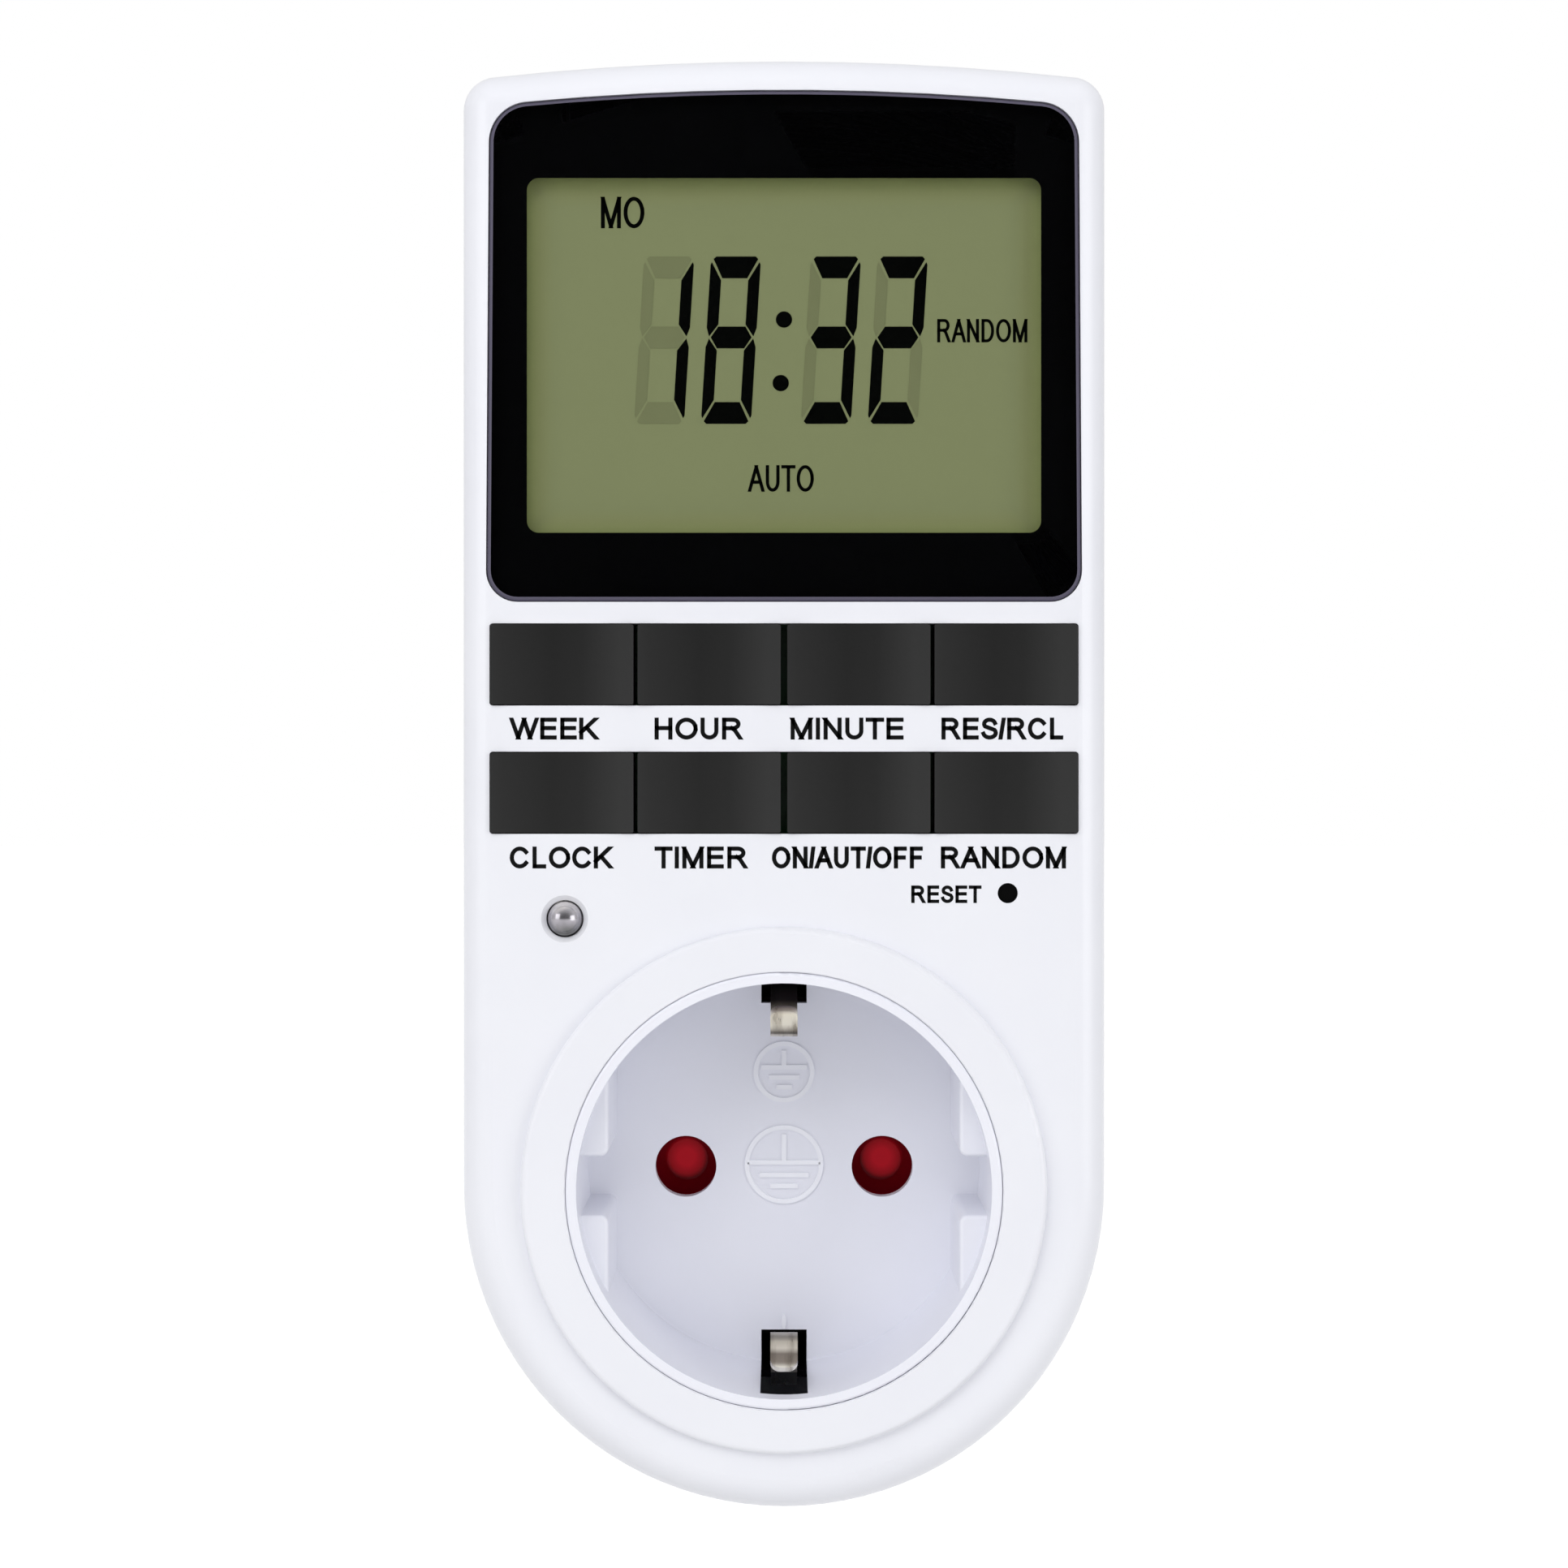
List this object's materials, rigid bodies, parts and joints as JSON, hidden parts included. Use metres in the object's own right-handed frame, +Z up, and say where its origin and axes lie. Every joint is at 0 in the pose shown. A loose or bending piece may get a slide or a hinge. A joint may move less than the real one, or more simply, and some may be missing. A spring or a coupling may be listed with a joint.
{
  "type": "plug in timer switch",
  "caption": "Plug in timer switch: a socket and plug on one axis, with a display, soft-travel keys and a reset pinhole.",
  "frame": {"origin": "centre of the plug's face, on the axis that the plug and the socket share", "axes": "+Z up along the case, +Y into the wall along the plug pins, -Y the front with display and keys, +X to the right seen from the front"},
  "size_m": [0.059, 0.075, 0.133],
  "materials": {
    "white_case": "glossy moulded ABS, slightly blue white",
    "white_insert": "semi-gloss moulded thermoplastic",
    "clear_window": "clear moulded acrylic window",
    "black_print": "black printed border",
    "key_cap": "satin charcoal ABS",
    "switch_plunger": "black nylon",
    "switch_body": "black moulded switch housing",
    "red_shutter": "deep red moulded plastic",
    "spring_steel": "drawn spring wire",
    "zinc_screw": "zinc plated steel",
    "nickel_strip": "nickel plated strip",
    "nickel_pin": "nickel plated brass pin",
    "brass_pin": "plain brass",
    "brass_strip": "rolled brass strip",
    "black_block": "black moulded plastic",
    "brown_lead": "brown PVC insulation",
    "blue_lead": "blue PVC insulation",
    "lcd_glass": "display glass with polariser, olive grey",
    "reflector_foil": "matt foil reflector",
    "zebra_rubber": "striped silicone rubber",
    "led_lens": "clear epoxy lamp",
    "green_board": "green solder resist on glass epoxy",
    "steel_can": "drawn steel can",
    "ribbon": "grey flat cable",
    "relay_case": "blue sealed relay case",
    "capacitor_case": "yellow film capacitor case",
    "capacitor_sleeve": "shrunk sleeve",
    "varistor_coat": "dipped epoxy coat",
    "resistor_coat": "flameproof coat"
  },
  "bodies": {
    "housing": {"front_shell": "white_case", "rear_shell": "white_case", "socket_insert": "white_insert", "well_guides": "white_insert", "display_lens": "clear_window", "lens_mask": "black_print", "shutter_spring": "spring_steel", "shutter_cover": "white_insert", "cover_screws": "zinc_screw", "earth_strap": "nickel_strip", "plug_earth_strip": "nickel_strip", "earth_rivet": "brass_pin", "live_pin": "nickel_pin", "neutral_pin": "nickel_pin", "pin_carrier": "black_block", "live_contact": "brass_strip", "neutral_contact": "brass_strip", "live_lead": "brown_lead", "neutral_lead": "blue_lead", "lcd_panel": "lcd_glass", "lcd_reflector": "reflector_foil", "lcd_holder": "black_block", "zebra_strip": "zebra_rubber", "key_switches": "switch_body", "reset_switch": "switch_body", "indicator_led": "led_lens", "control_board": "green_board", "controller_chip": "black_block", "crystal": "steel_can", "backup_battery": "steel_can", "ribbon_cable": "ribbon", "power_board": "green_board", "relay": "relay_case", "film_capacitor": "capacitor_case", "reservoir_capacitors": "capacitor_sleeve", "varistor": "varistor_coat", "diodes": "black_block", "fuse_resistor": "resistor_coat", "board_screws": "zinc_screw", "case_screws": "zinc_screw"},
    "week_button": {"week_key": "key_cap", "week_plunger": "switch_plunger"},
    "hour_button": {"hour_key": "key_cap", "hour_plunger": "switch_plunger"},
    "minute_button": {"minute_key": "key_cap", "minute_plunger": "switch_plunger"},
    "recall_button": {"recall_key": "key_cap", "recall_plunger": "switch_plunger"},
    "clock_button": {"clock_key": "key_cap", "clock_plunger": "switch_plunger"},
    "timer_button": {"timer_key": "key_cap", "timer_plunger": "switch_plunger"},
    "mode_button": {"mode_key": "key_cap", "mode_plunger": "switch_plunger"},
    "random_button": {"random_key": "key_cap", "random_plunger": "switch_plunger"},
    "reset": {"reset_button": "black_block", "reset_plunger": "switch_plunger"},
    "shutter": {"shutter": "red_shutter"}
  },
  "joints": [
    {"name": "week_press", "type": "slide", "parent": "housing", "child": "week_button", "axis": [0, 1, 0], "range_m": [0, 0.0004], "stiffness_N_per_m": 2000, "springref_m": -0.0001},
    {"name": "hour_press", "type": "slide", "parent": "housing", "child": "hour_button", "axis": [0, 1, 0], "range_m": [0, 0.0004], "stiffness_N_per_m": 2000, "springref_m": -0.0001},
    {"name": "minute_press", "type": "slide", "parent": "housing", "child": "minute_button", "axis": [0, 1, 0], "range_m": [0, 0.0004], "stiffness_N_per_m": 2000, "springref_m": -0.0001},
    {"name": "recall_press", "type": "slide", "parent": "housing", "child": "recall_button", "axis": [0, 1, 0], "range_m": [0, 0.0004], "stiffness_N_per_m": 2000, "springref_m": -0.0001},
    {"name": "clock_press", "type": "slide", "parent": "housing", "child": "clock_button", "axis": [0, 1, 0], "range_m": [0, 0.0004], "stiffness_N_per_m": 2000, "springref_m": -0.0001},
    {"name": "timer_press", "type": "slide", "parent": "housing", "child": "timer_button", "axis": [0, 1, 0], "range_m": [0, 0.0004], "stiffness_N_per_m": 2000, "springref_m": -0.0001},
    {"name": "mode_press", "type": "slide", "parent": "housing", "child": "mode_button", "axis": [0, 1, 0], "range_m": [0, 0.0004], "stiffness_N_per_m": 2000, "springref_m": -0.0001},
    {"name": "random_press", "type": "slide", "parent": "housing", "child": "random_button", "axis": [0, 1, 0], "range_m": [0, 0.0004], "stiffness_N_per_m": 2000, "springref_m": -0.0001},
    {"name": "reset_press", "type": "slide", "parent": "housing", "child": "reset", "axis": [0, 1, 0], "range_m": [0, 0.0004], "stiffness_N_per_m": 1000, "springref_m": -0.0001},
    {"name": "shutter_turn", "type": "hinge", "parent": "housing", "child": "shutter", "pos_m": [0, 0, 0], "axis": [0, -1, 0], "range_deg": [0, 44], "stiffness_Nm_per_rad": 0.01, "springref_deg": -11.46, "deforming": ["shutter_spring"]}
  ]
}
